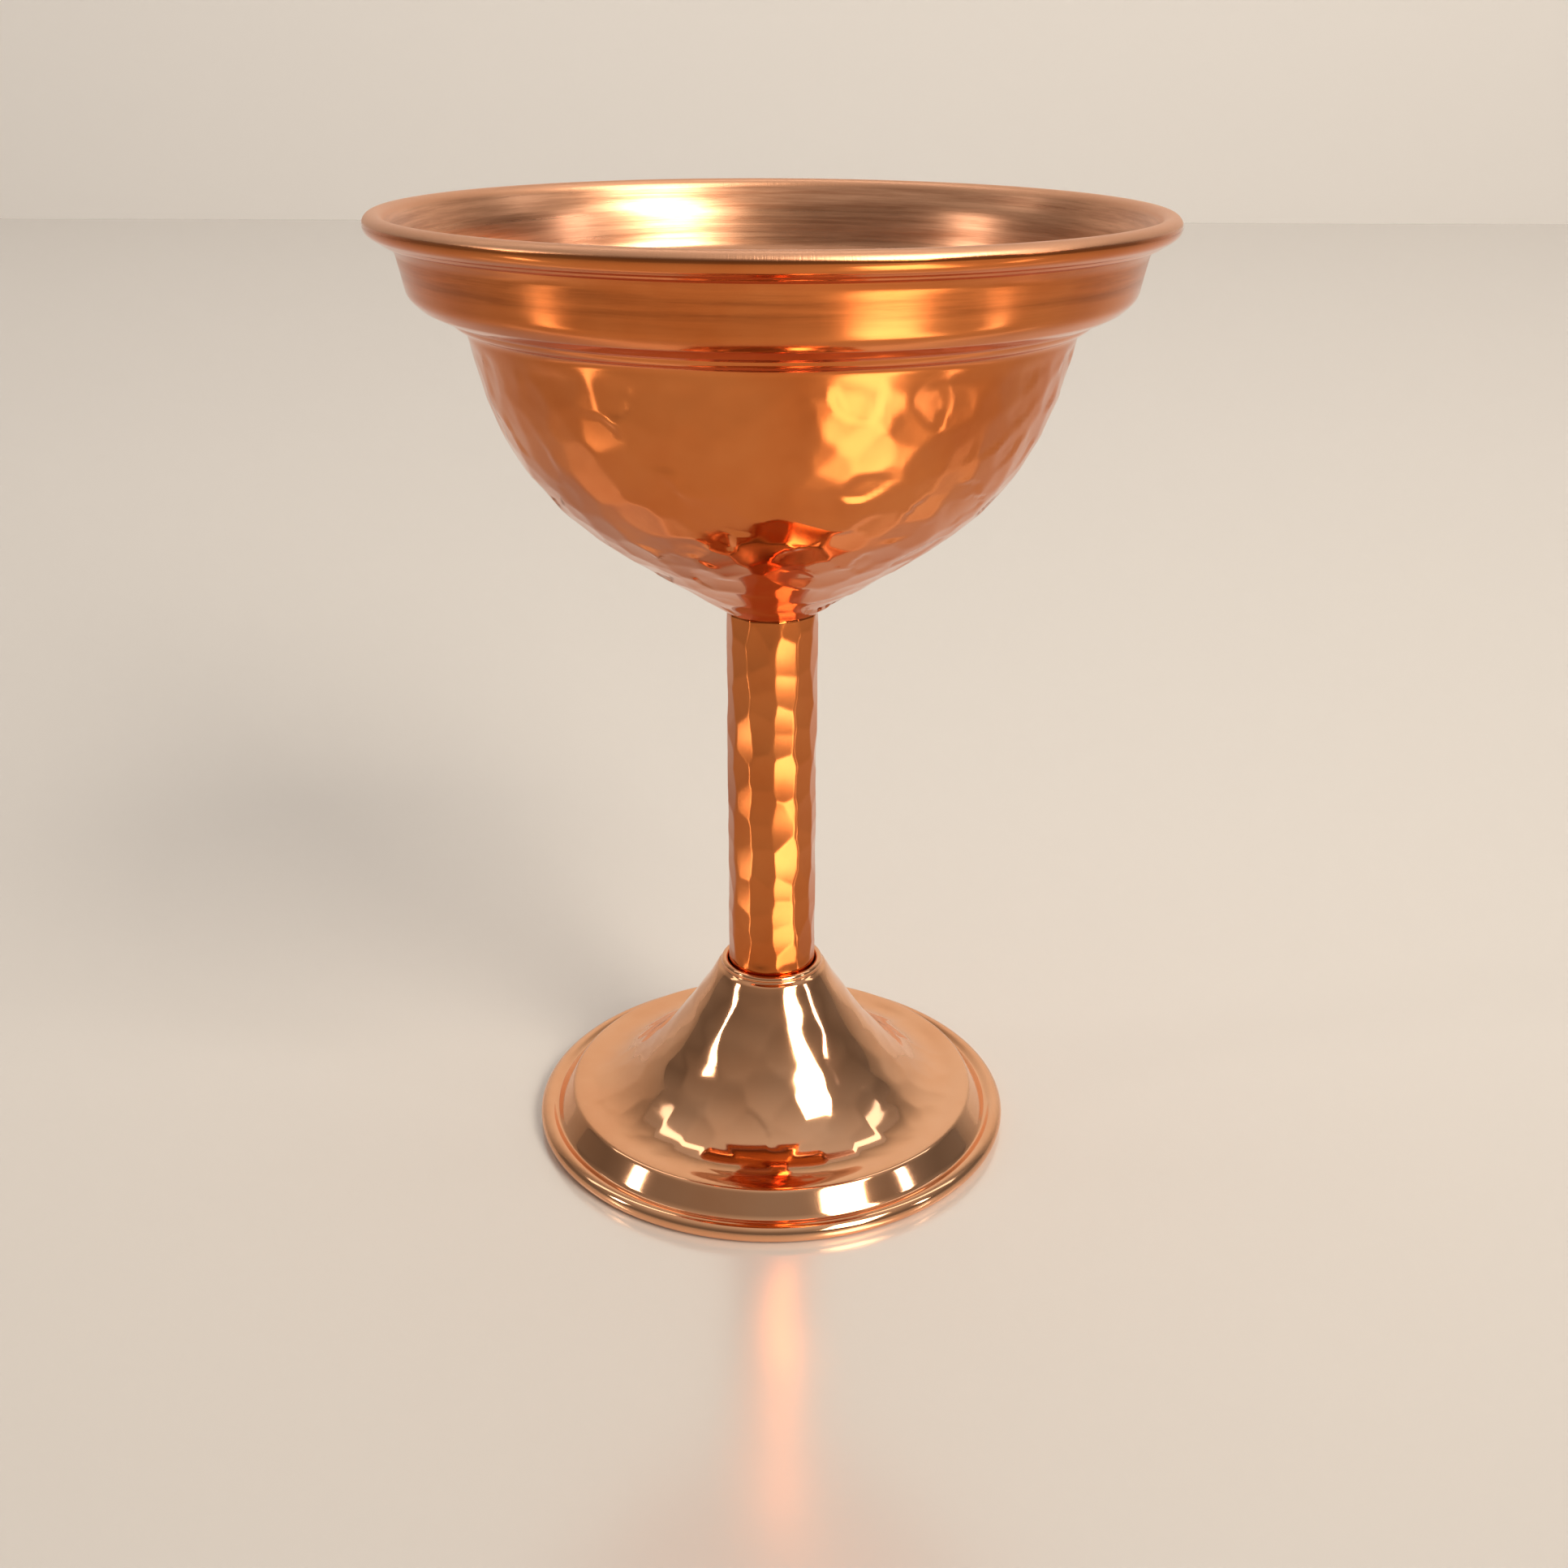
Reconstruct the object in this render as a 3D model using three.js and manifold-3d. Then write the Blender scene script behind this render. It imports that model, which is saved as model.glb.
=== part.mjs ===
// Hammered copper stem cup: a spun bowl and a spun foot on a length of copper tube, drawn together by one
// tie rod that runs up the inside of the tube.
// Millimetres, +Z up. The origin is on the axis of symmetry, in the plane that the foot stands on.
import * as THREE from "three";
import { mergeVertices } from "three/addons/utils/BufferGeometryUtils.js";
import Module from "manifold-3d";

const wasm = await Module();
wasm.setup();

// ---- Driving dimensions ----

const RIM_RADIUS = 63.5;
const FOOT_RADIUS = 44.0;
const FOOT_HEIGHT = 32.6;
const TUBE_LENGTH = 74.6;
const BOWL_HEIGHT = 65.9;

// Sheet that the bowl and the foot are spun from, and the beads rolled on their edges
const SHEET = 0.9;
const RIM_BEAD_RADIUS = 1.66;
const FOOT_BEAD_RADIUS = 1.62;
const WIRE_SLACK = 0.24;

// Stem tube, and how far it stands down inside the foot's neck
const TUBE_RADIUS = 7.94;
const TUBE_WALL = 1.0;
const NECK_ENGAGEMENT = 7.6;

// Bowl: the collar band under the rim, and the shoulder that steps in from it to the hammered part
const BAND_INSET = 4.6;
const BAND_TOP_DROP = 6.2;
const BAND_DEPTH = 4.6;
const BAND_TAPER = 1.0;
const BAND_ROUND_WIDTH = 2.8;
const BAND_ROUND_DEPTH = 3.3;
const SHOULDER_WIDTH = 9.0;
const SHOULDER_DEPTH = 6.7;
const BAND_ANGLE = 78;
const BAND_ROUND_PULL = 0.38;
const SHOULDER_ANGLE = 24;
const SHOULDER_FILLET = 1.1;
const BOWL_LOWER_ANGLE = 33.5;
const BOWL_UPPER_ANGLE = 79.2;
const BOWL_LOWER_PULL = 0.464;
const BOWL_UPPER_PULL = 0.439;
// The rolled rim ends in a tail that is tucked in under the bead, short of the wall
const TAIL_REACH = 1.75;
const TAIL_DROP = 2.9;
const TAIL_EDGE_EXTRA = 0.2;

// Foot: the neck, the flare, and the step down to the bead
const NECK_CLEARANCE = 0.46;
const NECK_LENGTH = 1.8;
const NECK_FLARE = 0.9;
const FLARE_INSET = 6.9;
const FLARE_EDGE_HEIGHT = 6.8;
const FLARE_TOP_ANGLE = -59;
const FLARE_EDGE_ANGLE = -3;
const FLARE_TOP_PULL = 0.9;
const FLARE_EDGE_PULL = 0.14;
const EDGE_ROUND_WIDTH = 0.7;
const EDGE_ROUND_DROP = 0.35;
const CREASE_INSET = 3.45;
const CREASE_HEIGHT = 2.78;

// Clamping hardware: an M6 rod with its nut and washers, and the two turned bosses that are brazed in
const ROD_RADIUS = 2.9;
const ROD_CHAMFER = 0.5;
const THREAD_GAP = 0.1;
const ROD_PASSAGE_GAP = 0.4;
const BRAZE_GAP = 0.12;
const TUBE_FIT_GAP = 0.15;
const BOWL_BOSS_HEIGHT = 10;
const BOWL_BOSS_ROOF = 2;
const BOWL_BOSS_CHAMFER = 0.8;
const ROD_END_GAP = 0.5;
const BUSH_TOP_DROP = 2.8;
const BUSH_FLANGE_DEPTH = 5.2;
const BUSH_FLOOR = 4.0;
const BUSH_SPIGOT_WALL = 1.06;
const WASHER_RADIUS = 6.0;
const WASHER_THICKNESS = 1.6;
const SPRING_WASHER_RADIUS = 5.6;
const SPRING_WASHER_THICKNESS = 1.6;
const SPRING_WASHER_SLIT = 14;
const NUT_ACROSS_FLATS = 10;
const NUT_HEIGHT = 5;
const NUT_CHAMFER = 0.45;
const ROD_TAIL = 2.6;

// ---- Derived sizes ----

const RADIANS = Math.PI / 180;
const tubeFoot = FOOT_HEIGHT - NECK_ENGAGEMENT;
const bowlSeat = tubeFoot + TUBE_LENGTH;
const rimTop = bowlSeat + BOWL_HEIGHT;
const tubeBore = TUBE_RADIUS - TUBE_WALL;
const threadBore = ROD_RADIUS + THREAD_GAP;
const rodPassage = ROD_RADIUS + ROD_PASSAGE_GAP;
const bushBottom = tubeFoot - BUSH_FLOOR;
const washerBottom = bushBottom - WASHER_THICKNESS;
const springWasherBottom = washerBottom - SPRING_WASHER_THICKNESS;
const nutBottom = springWasherBottom - NUT_HEIGHT;
const rodBottom = nutBottom - ROD_TAIL;
const rodTop = bowlSeat - BOWL_BOSS_ROOF - ROD_END_GAP;

const rimBead = { r: RIM_RADIUS - RIM_BEAD_RADIUS, z: rimTop - RIM_BEAD_RADIUS };
const footBead = { r: FOOT_RADIUS - FOOT_BEAD_RADIUS, z: FOOT_BEAD_RADIUS };

// ---- Fineness of the facets ----

// Every turned piece has the same number of sides in the same places, so that nested pieces clear each other
const SIDES = 36;
const BEAD_SIDES = 12;
const WIRE_SIDES = 6;
const CURVE_STEPS = 9;
const BAND_ROUND_STEPS = 3;

// ---- Outline helpers: a point is [radius, height] ----

// The corners of a bead's section from one corner number to another, anticlockwise. Corner 0 is half a side
// above the outermost point, and the sides touch the true circle, so one side lies level at top and bottom.
function beadCorners(centre, radius, first, last, sides = BEAD_SIDES) {
  const halfSide = Math.PI / sides;
  const reach = radius / Math.cos(halfSide);
  const step = Math.sign(last - first) || 1;
  const corners = [];
  for (let i = first; i !== last + step; i += step) {
    const angle = halfSide * (2 * i + 1);
    corners.push([centre.r + reach * Math.cos(angle), centre.z + reach * Math.sin(angle)]);
  }
  return corners;
}

// A curve between two points that leaves the first and reaches the second at the angles given, in degrees;
// each pull is a share of the straight distance
function fairCurve(start, startAngle, startPull, end, endAngle, endPull, steps = CURVE_STEPS) {
  const chord = Math.hypot(end[0] - start[0], end[1] - start[1]);
  const a = startAngle * RADIANS;
  const b = endAngle * RADIANS;
  const curve = new THREE.CubicBezierCurve(
    new THREE.Vector2(...start),
    new THREE.Vector2(
      start[0] + chord * startPull * Math.cos(a),
      start[1] + chord * startPull * Math.sin(a),
    ),
    new THREE.Vector2(
      end[0] - chord * endPull * Math.cos(b),
      end[1] - chord * endPull * Math.sin(b),
    ),
    new THREE.Vector2(...end),
  );
  return curve.getPoints(steps).map((p) => [p.x, p.y]);
}

// The same outline moved sideways by a distance, to the left of its direction, with mitred corners
function offsetOutline(points, distance) {
  const side = (p, q) => {
    const length = Math.hypot(q[0] - p[0], q[1] - p[1]);
    return [-(q[1] - p[1]) / length, (q[0] - p[0]) / length];
  };
  return points.map((p, i) => {
    const before = side(points[Math.max(i - 1, 0)], points[Math.max(i, 1)]);
    const after = side(points[Math.min(i, points.length - 2)], points[Math.min(i + 1, points.length - 1)]);
    const spread = 1 + before[0] * after[0] + before[1] * after[1];
    return [
      p[0] + (distance * (before[0] + after[0])) / spread,
      p[1] + (distance * (before[1] + after[1])) / spread,
    ];
  });
}

// The part of an outline of falling height that lies between two heights, with its ends cut level
function sliceOutline(points, top, bottom) {
  const at = (z) => {
    const i = points.findIndex((p) => p[1] <= z);
    const [p, q] = [points[i - 1], points[i]];
    const share = (p[1] - z) / (p[1] - q[1]);
    return [p[0] + share * (q[0] - p[0]), z];
  };
  const inside = points.filter((p) => p[1] < top && p[1] > bottom);
  return [at(top), ...inside, at(bottom)];
}

// ---- Solid helpers ----

// A solid turned about the Z axis from an outline listed anticlockwise, seen with the axis on the left
function turned(outline) {
  const points = outline.map(([r, z]) => new THREE.Vector2(r, z));
  const onAxis = outline[0][0] === 0 && outline[outline.length - 1][0] === 0;
  if (!onAxis) points.push(points[0].clone());
  return new THREE.LatheGeometry(points, SIDES).rotateX(Math.PI / 2);
}

// The corner points of a circle, in the same places as the sides of the turned pieces
function circlePoints(radius, firstSide = 0, lastSide = SIDES - 1) {
  const points = [];
  for (let i = firstSide; i <= lastSide; i += 1) {
    const angle = (2 * Math.PI * i) / SIDES;
    points.push(new THREE.Vector2(radius * Math.cos(angle), radius * Math.sin(angle)));
  }
  return points;
}

function toManifold(geometry) {
  const bare = geometry.clone();
  bare.deleteAttribute("normal");
  bare.deleteAttribute("uv");
  const merged = mergeVertices(bare);
  return new wasm.Manifold(new wasm.Mesh({
    numProp: 3,
    vertProperties: new Float32Array(merged.attributes.position.array),
    triVerts: new Uint32Array(merged.index.array),
  }));
}

function toGeometry(manifold) {
  const mesh = manifold.getMesh();
  const geometry = new THREE.BufferGeometry();
  geometry.setAttribute("position", new THREE.BufferAttribute(mesh.vertProperties, 3));
  geometry.setIndex(new THREE.BufferAttribute(mesh.triVerts, 1));
  geometry.computeVertexNormals();
  return geometry;
}

// ---- Materials ----

const finish = (color, roughness, metalness = 1) => new THREE.MeshStandardMaterial({ color, roughness, metalness });
const hammeredCopper = finish(0xc96f35, 0.16);
const polishedCopper = finish(0xd98f62, 0.1);
const copperWire = finish(0xb4683a, 0.4);
const turnedBrass = finish(0xc29a4a, 0.3);
const zincSteel = finish(0xb4b6b8, 0.35);

// ---- Bowl ----

// Outside of the bowl from its centre up to the top of the band
function bowlOutside() {
  const bandTop = [RIM_RADIUS - BAND_INSET, rimTop - BAND_TOP_DROP];
  const bandBottom = [bandTop[0] - BAND_TAPER, bandTop[1] - BAND_DEPTH];
  const shoulderOuter = [bandBottom[0] - BAND_ROUND_WIDTH, bandBottom[1] - BAND_ROUND_DEPTH];
  const shoulderInner = [bandBottom[0] - SHOULDER_WIDTH, bandBottom[1] - SHOULDER_DEPTH];
  const seatEdge = [TUBE_RADIUS, bowlSeat];
  const lower = fairCurve(
    seatEdge, BOWL_LOWER_ANGLE, BOWL_LOWER_PULL,
    shoulderInner, BOWL_UPPER_ANGLE, BOWL_UPPER_PULL,
  );
  const round = fairCurve(
    shoulderOuter, SHOULDER_ANGLE, BAND_ROUND_PULL,
    bandBottom, BAND_ANGLE, BAND_ROUND_PULL,
    BAND_ROUND_STEPS,
  );
  const rise = [shoulderInner[0] + SHOULDER_FILLET, shoulderInner[1] + SHOULDER_FILLET];
  return [[0, bowlSeat], ...lower, rise, ...round, bandTop];
}

// The rolled rim goes up the wall, out over the bead and back in below it, where the roll stays open
function bowl() {
  const outside = bowlOutside();
  const inside = offsetOutline(outside, SHEET);
  const hole = beadCorners(rimBead, RIM_BEAD_RADIUS - SHEET, 6, -4);
  const bead = beadCorners(rimBead, RIM_BEAD_RADIUS, -3, 5);
  const tailLower = [rimBead.r - TAIL_REACH, rimBead.z - TAIL_DROP];
  const wallFoot = outside[outside.length - 1];
  const lean = (hole[0][0] - wallFoot[0]) / (hole[0][1] - wallFoot[1]);
  const tailEdge = SHEET + TAIL_EDGE_EXTRA;
  const tailUpper = [tailLower[0] + lean * tailEdge, tailLower[1] + tailEdge];
  return turned([...outside, ...hole, tailUpper, tailLower, ...bead, ...inside.reverse()]);
}

// Wire that a bead is rolled round, filling its hollow with a little slack
function beadWire(centre, beadRadius) {
  return turned(beadCorners(centre, beadRadius - SHEET - WIRE_SLACK, 0, WIRE_SIDES - 1, WIRE_SIDES));
}

// Solid boss brazed to the underside of the bowl: it centres the tube and takes the rod in a blind thread
function bowlBoss() {
  const radius = tubeBore - TUBE_FIT_GAP;
  const bottom = bowlSeat - BOWL_BOSS_HEIGHT;
  return turned([
    [0, bowlSeat - BOWL_BOSS_ROOF],
    [threadBore, bowlSeat - BOWL_BOSS_ROOF],
    [threadBore, bottom],
    [radius - BOWL_BOSS_CHAMFER, bottom],
    [radius, bottom + BOWL_BOSS_CHAMFER],
    [radius, bowlSeat],
    [0, bowlSeat],
  ]);
}

// ---- Stem ----

function stemTube() {
  return turned([
    [tubeBore, tubeFoot],
    [TUBE_RADIUS, tubeFoot],
    [TUBE_RADIUS, bowlSeat],
    [tubeBore, bowlSeat],
  ]);
}

function tieRod() {
  return turned([
    [0, rodBottom],
    [ROD_RADIUS - ROD_CHAMFER, rodBottom],
    [ROD_RADIUS, rodBottom + ROD_CHAMFER],
    [ROD_RADIUS, rodTop - ROD_CHAMFER],
    [ROD_RADIUS - ROD_CHAMFER, rodTop],
    [0, rodTop],
  ]);
}

// ---- Foot ----

// Outside of the foot from the lip of its neck down to the crease above the bead
function footOutside() {
  const neckRadius = TUBE_RADIUS + NECK_CLEARANCE + SHEET;
  const neckBottom = [neckRadius + NECK_FLARE, FOOT_HEIGHT - NECK_LENGTH];
  const flareEdge = [FOOT_RADIUS - FLARE_INSET, FLARE_EDGE_HEIGHT];
  const flare = fairCurve(
    neckBottom, FLARE_TOP_ANGLE, FLARE_TOP_PULL,
    flareEdge, FLARE_EDGE_ANGLE, FLARE_EDGE_PULL,
  );
  const edgeRound = [flareEdge[0] + EDGE_ROUND_WIDTH, flareEdge[1] - EDGE_ROUND_DROP];
  return [[neckRadius, FOOT_HEIGHT], ...flare, edgeRound, [FOOT_RADIUS - CREASE_INSET, CREASE_HEIGHT]];
}

// The foot's edge is rolled over, down and under, and the roll stays open on the inside
function foot() {
  const outside = footOutside();
  const inside = offsetOutline(outside, -SHEET);
  const bead = beadCorners(footBead, FOOT_BEAD_RADIUS, 4, -5);
  const hole = beadCorners(footBead, FOOT_BEAD_RADIUS - SHEET, -5, 4);
  return turned([...outside, ...bead, ...hole, ...inside.reverse()].reverse());
}

// Bush brazed inside the neck: its flange follows the flare, the tube stands in its counterbore, and the rod
// passes through its floor
function footBush() {
  const flareInside = offsetOutline(footOutside(), -(SHEET + BRAZE_GAP));
  const top = FOOT_HEIGHT - BUSH_TOP_DROP;
  const flangeBottom = top - BUSH_FLANGE_DEPTH;
  const counterbore = TUBE_RADIUS + TUBE_FIT_GAP;
  const spigot = TUBE_RADIUS + BUSH_SPIGOT_WALL;
  return turned([
    [rodPassage, bushBottom],
    [spigot, bushBottom],
    [spigot, flangeBottom],
    ...sliceOutline(flareInside, top, flangeBottom).reverse(),
    [counterbore, top],
    [counterbore, tubeFoot],
    [rodPassage, tubeFoot],
  ]);
}

// ---- Fasteners under the foot ----

function flatWasher() {
  return turned([
    [rodPassage, washerBottom],
    [WASHER_RADIUS, washerBottom],
    [WASHER_RADIUS, bushBottom],
    [rodPassage, bushBottom],
  ]);
}

// Spring washer drawn up flat by the nut, with its slit left open
function springWasher() {
  const slitSides = Math.max(1, Math.round((SPRING_WASHER_SLIT / 360) * SIDES));
  const outer = circlePoints(SPRING_WASHER_RADIUS, slitSides, SIDES);
  const inner = circlePoints(rodPassage, slitSides, SIDES);
  const shape = new THREE.Shape([...outer, ...inner.reverse()]);
  const options = { depth: SPRING_WASHER_THICKNESS, bevelEnabled: false };
  return new THREE.ExtrudeGeometry(shape, options).translate(0, 0, springWasherBottom);
}

// Hexagon nut, its corners chamfered at both ends
function hexNut() {
  const cornerRadius = NUT_ACROSS_FLATS / Math.sqrt(3);
  const shape = new THREE.Shape();
  for (let i = 0; i < 6; i += 1) {
    const angle = (i * Math.PI) / 3;
    const corner = [cornerRadius * Math.cos(angle), cornerRadius * Math.sin(angle)];
    if (i === 0) shape.moveTo(...corner);
    else shape.lineTo(...corner);
  }
  shape.holes.push(new THREE.Path(circlePoints(threadBore)));
  const prism = new THREE.ExtrudeGeometry(shape, { depth: NUT_HEIGHT, bevelEnabled: false });
  prism.translate(0, 0, nutBottom);
  const chamfers = turned([
    [0, nutBottom],
    [cornerRadius - NUT_CHAMFER, nutBottom],
    [cornerRadius + NUT_CHAMFER, nutBottom + NUT_CHAMFER],
    [cornerRadius + NUT_CHAMFER, nutBottom + NUT_HEIGHT - NUT_CHAMFER],
    [cornerRadius - NUT_CHAMFER, nutBottom + NUT_HEIGHT],
    [0, nutBottom + NUT_HEIGHT],
  ]);
  return toGeometry(toManifold(prism).intersect(toManifold(chamfers)));
}

// ---- Assembly ----

function piece(name, geometry, material) {
  const mesh = new THREE.Mesh(geometry, material);
  mesh.name = name;
  return mesh;
}

const bowlGroup = new THREE.Group();
bowlGroup.add(
  piece("bowl", bowl(), hammeredCopper),
  piece("rim_wire", beadWire(rimBead, RIM_BEAD_RADIUS), copperWire),
  piece("bowl_boss", bowlBoss(), turnedBrass),
);

const stemGroup = new THREE.Group();
stemGroup.add(
  piece("stem_tube", stemTube(), hammeredCopper),
  piece("tie_rod", tieRod(), zincSteel),
);

const footGroup = new THREE.Group();
footGroup.add(
  piece("foot", foot(), polishedCopper),
  piece("foot_wire", beadWire(footBead, FOOT_BEAD_RADIUS), copperWire),
  piece("foot_bush", footBush(), turnedBrass),
);

const fastenerGroup = new THREE.Group();
fastenerGroup.add(
  piece("flat_washer", flatWasher(), zincSteel),
  piece("spring_washer", springWasher(), zincSteel),
  piece("hex_nut", hexNut(), zincSteel),
);

const cup = new THREE.Group();
cup.add(bowlGroup, stemGroup, footGroup, fastenerGroup);

export default cup;
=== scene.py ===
# %% [markdown]
# # A hammered copper stem cup
#
# The cup is three pieces of copper that show - a spun bowl, a length of tube and a spun foot - and a few
# turned and bought-in pieces inside that draw them together. The design model fixes every size and place.
# This file gives the same pieces their real surface: hammer marks, lathe lines, rolled edges, threads and
# the colour of worked copper.

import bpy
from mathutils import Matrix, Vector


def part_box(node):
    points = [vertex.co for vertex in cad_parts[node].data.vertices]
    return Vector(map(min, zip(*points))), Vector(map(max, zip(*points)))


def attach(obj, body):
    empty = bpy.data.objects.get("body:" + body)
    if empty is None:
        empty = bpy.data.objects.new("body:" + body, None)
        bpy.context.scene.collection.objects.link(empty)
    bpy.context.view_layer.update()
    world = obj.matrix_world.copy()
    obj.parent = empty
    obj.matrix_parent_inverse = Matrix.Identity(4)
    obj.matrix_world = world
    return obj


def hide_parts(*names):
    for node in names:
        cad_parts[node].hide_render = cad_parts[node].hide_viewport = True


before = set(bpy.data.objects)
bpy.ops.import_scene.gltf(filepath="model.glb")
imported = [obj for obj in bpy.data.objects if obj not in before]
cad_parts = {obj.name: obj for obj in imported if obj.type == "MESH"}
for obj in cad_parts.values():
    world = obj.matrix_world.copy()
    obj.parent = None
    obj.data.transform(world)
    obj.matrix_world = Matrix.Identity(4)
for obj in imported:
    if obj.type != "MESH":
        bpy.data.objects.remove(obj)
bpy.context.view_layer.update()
print("pieces in the design:", sorted(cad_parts))

# %% [markdown]
# All the sizes that follow come from the boxes of the design's own pieces, in metres. A millimetre is a
# handier unit for sheet metal, so it is given a name once.

# %% Units, and the sizes read from the design
import math

import bmesh
import bpy
import numpy as np
from mathutils import Matrix, Vector

MM = 0.001
FULL_TURN = 2 * math.pi

bowl_low, bowl_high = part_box("bowl")
tube_low, tube_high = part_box("stem_tube")
_, foot_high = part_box("foot")

rim_radius = bowl_high.x / MM
rim_top = bowl_high.z / MM
seat_height = bowl_low.z / MM
tube_radius = tube_high.x / MM
tube_bottom = tube_low.z / MM
foot_radius = foot_high.x / MM
neck_top = foot_high.z / MM
print(f"rim {rim_radius:.1f}, height {rim_top:.1f}, tube {tube_radius:.2f}, foot {foot_radius:.1f} mm")

# %% [markdown]
# ## The camera
#
# The camera stands close to the cup and a little above its rim, and looks down at it, so the rim is a thin
# ellipse and the foot a wide one. It is made first, so that every trial picture is taken from one place.

# %% Camera
CAMERA_PLACE = Vector((0.0, -294.56, 190.03)) * MM
CAMERA_PITCH = math.radians(22.671)
CAMERA_YAW = math.radians(0.4155)
CAMERA_ROLL = math.radians(0.2514)
CAMERA_LENS = 41.01


def aimed_camera():
    ahead = Vector((
        math.sin(CAMERA_YAW) * math.cos(CAMERA_PITCH),
        math.cos(CAMERA_YAW) * math.cos(CAMERA_PITCH),
        -math.sin(CAMERA_PITCH),
    ))
    level = ahead.cross(Vector((0, 0, 1))).normalized()
    upright = level.cross(ahead)
    right = level * math.cos(CAMERA_ROLL) + upright * math.sin(CAMERA_ROLL)
    up = upright * math.cos(CAMERA_ROLL) - level * math.sin(CAMERA_ROLL)
    bpy.ops.object.camera_add()
    camera = bpy.context.object
    camera.name = "camera"
    turn = Matrix((right, up, -ahead)).transposed().to_4x4()
    camera.matrix_world = Matrix.Translation(CAMERA_PLACE) @ turn
    camera.data.lens = CAMERA_LENS
    camera.data.clip_start = 0.01
    return camera


bpy.context.scene.camera = aimed_camera()
print("camera height above the table:", round(CAMERA_PLACE.z / MM), "mm")

# %% [markdown]
# ## Drawing a section
#
# Spun metal is round, so each piece is its section turned about the axis. A section is a chain of points,
# each a radius and a height in millimetres. Straight runs need only their ends, round ones are arcs, and
# the long sweeps of the bowl and the foot are one fair curve each, set by the angle at which it leaves and
# the angle at which it arrives.

# %% Arcs, fair curves and straight runs
def arc(centre, radius, first, last, steps):
    """Points on a circle from one angle to another, in degrees anticlockwise."""
    angles = np.radians(np.linspace(first, last, steps + 1))
    return [(centre[0] + radius * math.cos(a), centre[1] + radius * math.sin(a)) for a in angles]


def fair(start, start_angle, start_pull, end, end_angle, end_pull, steps):
    """A cubic curve; each pull is a share of the straight distance between the ends."""
    chord = math.dist(start, end)
    a, b = math.radians(start_angle), math.radians(end_angle)
    first = (start[0] + chord * start_pull * math.cos(a), start[1] + chord * start_pull * math.sin(a))
    second = (end[0] - chord * end_pull * math.cos(b), end[1] - chord * end_pull * math.sin(b))
    points = []
    for t in np.linspace(0, 1, steps + 1):
        weights = ((1 - t) ** 3, 3 * t * (1 - t) ** 2, 3 * t * t * (1 - t), t ** 3)
        corners = (start, first, second, end)
        points.append(tuple(sum(w * c[i] for w, c in zip(weights, corners)) for i in (0, 1)))
    return points


def straight(start, end, steps):
    start, end = np.array(start), np.array(end)
    return [tuple(start + (end - start) * t) for t in np.linspace(0, 1, steps + 1)]


def bulge(start, end, height, steps):
    """A shallow arc from start to end that stands out to the right of its direction."""
    start, end = np.array(start), np.array(end)
    along = end - start
    out = np.array([along[1], -along[0]]) / np.linalg.norm(along)
    return [tuple(start + along * t + out * height * 4 * t * (1 - t)) for t in np.linspace(0, 1, steps + 1)]


def moved_sideways(points, distance):
    """The same section moved to the left of its direction, with mitred corners."""
    p = np.array(points)
    along = np.diff(p, axis=0)
    along /= np.linalg.norm(along, axis=1)[:, None]
    side = np.stack([-along[:, 1], along[:, 0]], axis=1)
    before = np.vstack([side[:1], side])
    after = np.vstack([side, side[-1:]])
    spread = 1 + (before * after).sum(axis=1)
    return [tuple(q) for q in p + distance * (before + after) / spread[:, None]]


def joined(*runs):
    """Runs end to end, with no point given twice."""
    section = []
    for run in runs:
        for point in run:
            if not section or math.dist(point, section[-1]) > 0.004:
                section.append(tuple(float(v) for v in point))
    return section


# %% [markdown]
# ## Turning a section
#
# This is the metal spinner's move. A circle with as many points as the section has is the quickest closed
# chain to start from. Its points are moved on to the section, and a Screw modifier without any rise takes
# the chain a full turn about the axis, which is far quicker than the spin tool when there are hundreds of
# steps. Doubled points on the axis are merged, and the faces are told which way is out. A section that
# starts and ends on the axis needs no closing edge, so that edge is deleted first. Each run of the section
# may carry numbers, such as how brushed it is: they are stored on the chain, and go round with it.

# %% The spinning helper
def clear_selection():
    if bpy.context.object and bpy.context.object.mode != "OBJECT":
        bpy.ops.object.mode_set(mode="OBJECT")
    bpy.ops.object.select_all(action="DESELECT")


def mesh_places(piece):
    """The piece's points in millimetres."""
    places = np.empty(len(piece.data.vertices) * 3)
    piece.data.vertices.foreach_get("co", places)
    return places.reshape(-1, 3) / MM


def move_points(piece, places):
    piece.data.vertices.foreach_set("co", (places * MM).ravel())
    piece.data.update()


def paint(piece, name, values):
    """Stores one number for each point of the mesh, for a material to read."""
    attribute = piece.data.attributes.get(name) or piece.data.attributes.new(name, "FLOAT", "POINT")
    attribute.data.foreach_set("value", np.asarray(values, np.float32))


def painted_values(piece, name):
    values = np.empty(len(piece.data.vertices), np.float32)
    piece.data.attributes[name].data.foreach_get("value", values)
    return values


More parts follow.
